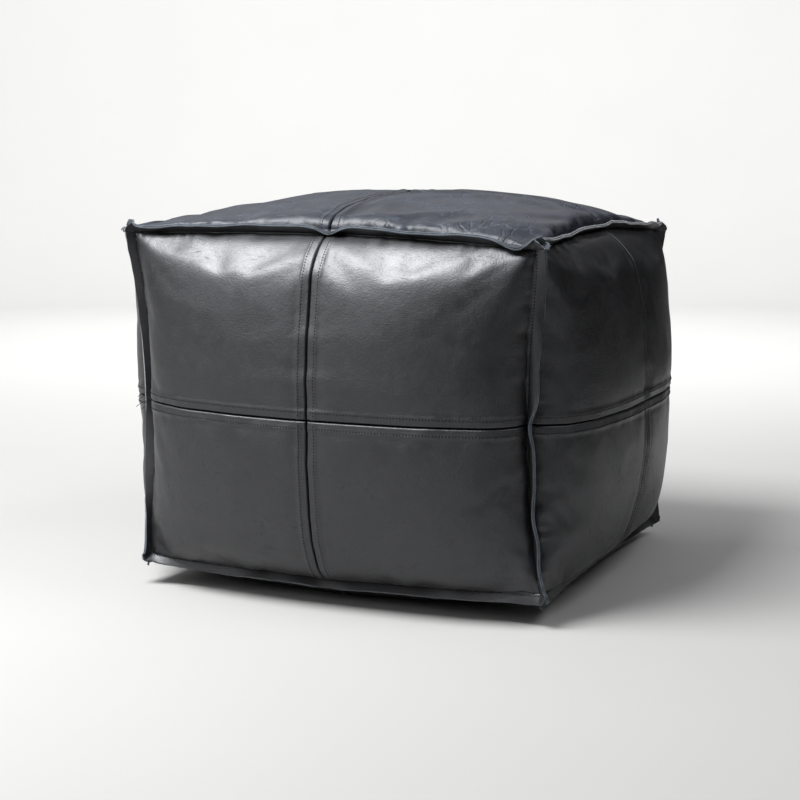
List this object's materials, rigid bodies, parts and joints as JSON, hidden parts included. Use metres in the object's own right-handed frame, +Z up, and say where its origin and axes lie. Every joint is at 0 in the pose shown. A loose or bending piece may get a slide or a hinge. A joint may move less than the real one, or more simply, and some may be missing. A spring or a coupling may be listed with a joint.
{
  "type": "leather floor pouf",
  "caption": "Square stuffed leather pouf with quartered, topstitched faces, raw turned-out edge seams and a zipped base.",
  "frame": {"origin": "on the floor, under the middle of the base", "axes": "+Z up, front side facing -Y, +X to the right of someone looking at the front"},
  "size_m": [0.5272, 0.5272, 0.4056],
  "materials": {
    "top_leather": "dark grey-blue grained leather, semi-gloss, lightly scuffed",
    "side_leather": "black grained leather with soft highlights",
    "base_leather": "black grained leather, duller underneath",
    "sewing_thread": "waxed dark grey thread",
    "liner_cotton": "plain unbleached cotton",
    "filling_fibre": "matted cotton wadding",
    "zip_tape_cloth": "black woven polyester tape",
    "zip_coil_nylon": "black nylon coil",
    "zip_metal": "nickel-plated, satin"
  },
  "bodies": {
    "casing": {"top_front_left": "top_leather", "top_front_right": "top_leather", "top_back_left": "top_leather", "top_back_right": "top_leather", "front_upper_left": "side_leather", "front_upper_right": "side_leather", "front_lower_left": "side_leather", "front_lower_right": "side_leather", "right_upper_left": "side_leather", "right_upper_right": "side_leather", "right_lower_left": "side_leather", "right_lower_right": "side_leather", "back_upper_left": "side_leather", "back_upper_right": "side_leather", "back_lower_left": "side_leather", "back_lower_right": "side_leather", "left_upper_left": "side_leather", "left_upper_right": "side_leather", "left_lower_left": "side_leather", "left_lower_right": "side_leather", "base_front_left": "base_leather", "base_front_right": "base_leather", "base_back_left": "base_leather", "base_back_right": "base_leather", "top_topstitching": "sewing_thread", "front_topstitching": "sewing_thread", "right_topstitching": "sewing_thread", "back_topstitching": "sewing_thread", "left_topstitching": "sewing_thread", "base_topstitching": "sewing_thread", "rim_stitching": "sewing_thread", "upright_stitching": "sewing_thread", "hem_stitching": "sewing_thread", "liner_top": "liner_cotton", "liner_wall": "liner_cotton", "liner_base": "liner_cotton", "filling": "filling_fibre", "zip_tape_front": "zip_tape_cloth", "zip_tape_back": "zip_tape_cloth", "zip_coil_front": "zip_coil_nylon", "zip_coil_back": "zip_coil_nylon", "zip_closed_end_stop": "zip_metal", "zip_open_end_stop": "zip_metal"},
    "slider": {"zip_slider": "zip_metal"},
    "pull": {"zip_pull": "zip_metal"}
  },
  "joints": [
    {"name": "zip_slide", "type": "slide", "parent": "casing", "child": "slider", "axis": [1, 0, 0], "range_m": [0, 0.2614]},
    {"name": "pull_hinge", "type": "hinge", "parent": "slider", "child": "pull", "pos_m": [-0.1307, 0, 0.0044], "axis": [0, 1, 0], "range_deg": [-5, 165]}
  ]
}
